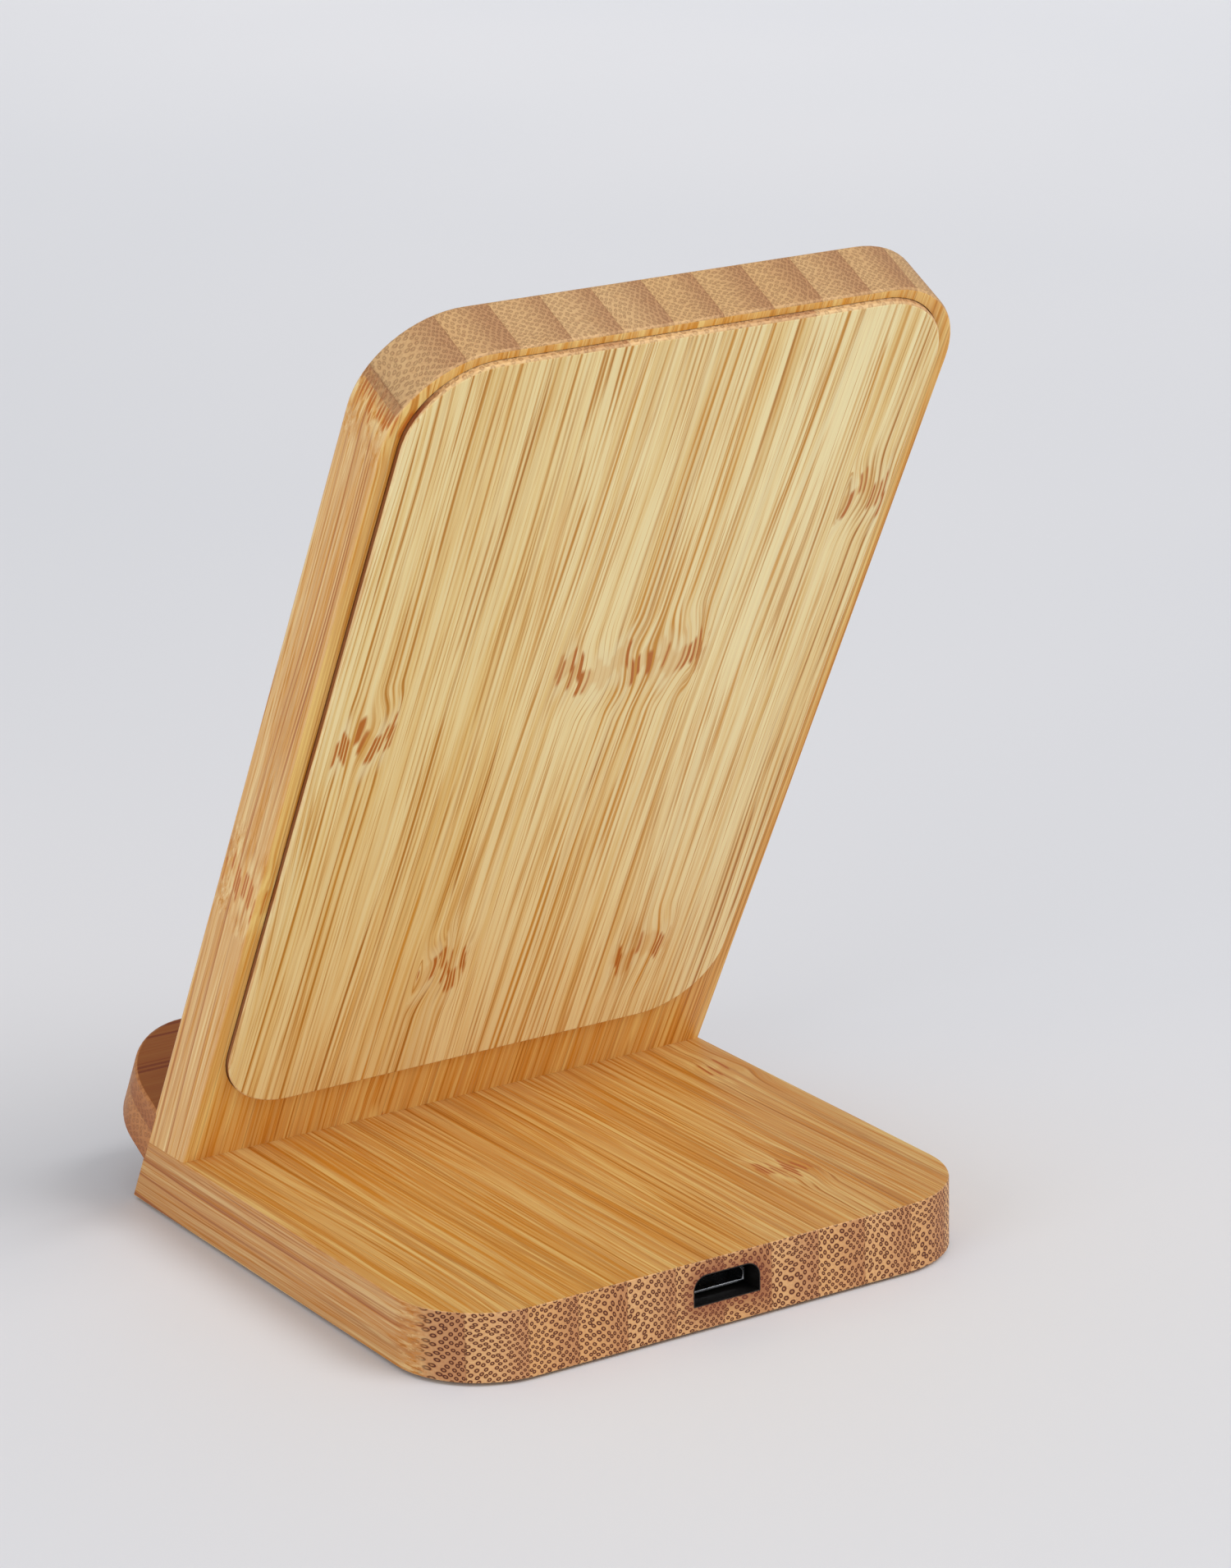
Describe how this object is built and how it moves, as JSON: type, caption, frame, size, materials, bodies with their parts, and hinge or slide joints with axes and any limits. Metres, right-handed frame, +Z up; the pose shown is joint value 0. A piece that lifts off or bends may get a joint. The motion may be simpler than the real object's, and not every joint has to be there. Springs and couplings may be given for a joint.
{
  "type": "phone stand",
  "caption": "Bamboo phone stand with a leaning backrest on a flat base, a phone ledge, a raised rear cover and a wireless charger inside.",
  "frame": {"origin": "on the surface that the stand rests on, under the middle of the stand's bounding box", "axes": "+Z up; the phone faces -Y and the backrest leans back towards +Y, where the socket is; +X to the right as the phone's user looks at it"},
  "size_m": [0.07, 0.0788, 0.1138],
  "materials": {
    "bamboo_base": "satin",
    "bamboo_back": "satin",
    "bamboo_cover": "satin",
    "bamboo_ledge": "satin",
    "dowel_wood": "matte",
    "black_plastic": "matte",
    "socket_plastic": "matte",
    "rubber": "matte",
    "steel": "satin",
    "socket_metal": "satin",
    "gold_contacts": "polished",
    "circuit_board": "satin",
    "chip_black": "matte",
    "ceramic": "matte",
    "ferrite": "matte",
    "copper": "satin",
    "foam": "matte"
  },
  "bodies": {
    "root": {"base_board": "bamboo_base", "backrest_board": "bamboo_back", "rear_cover": "bamboo_cover", "phone_ledge": "bamboo_ledge", "bottom_cover": "black_plastic", "backrest_dowels": "dowel_wood", "ledge_dowels": "dowel_wood", "bottom_cover_screws": "steel", "rubber_feet": "rubber", "control_board": "circuit_board", "board_screws": "steel", "socket_shell": "socket_metal", "socket_tongue": "socket_plastic", "socket_contacts": "gold_contacts", "controller_chip": "chip_black", "power_transistors": "chip_black", "resonant_capacitors": "ceramic", "power_inductor": "ferrite", "small_capacitors": "ceramic", "lower_coil": "copper", "upper_coil": "copper", "lower_ferrite": "ferrite", "upper_ferrite": "ferrite", "lower_foam_pad": "foam", "upper_foam_pad": "foam", "lower_coil_leads": "copper", "upper_coil_leads": "copper"}
  },
  "joints": []
}
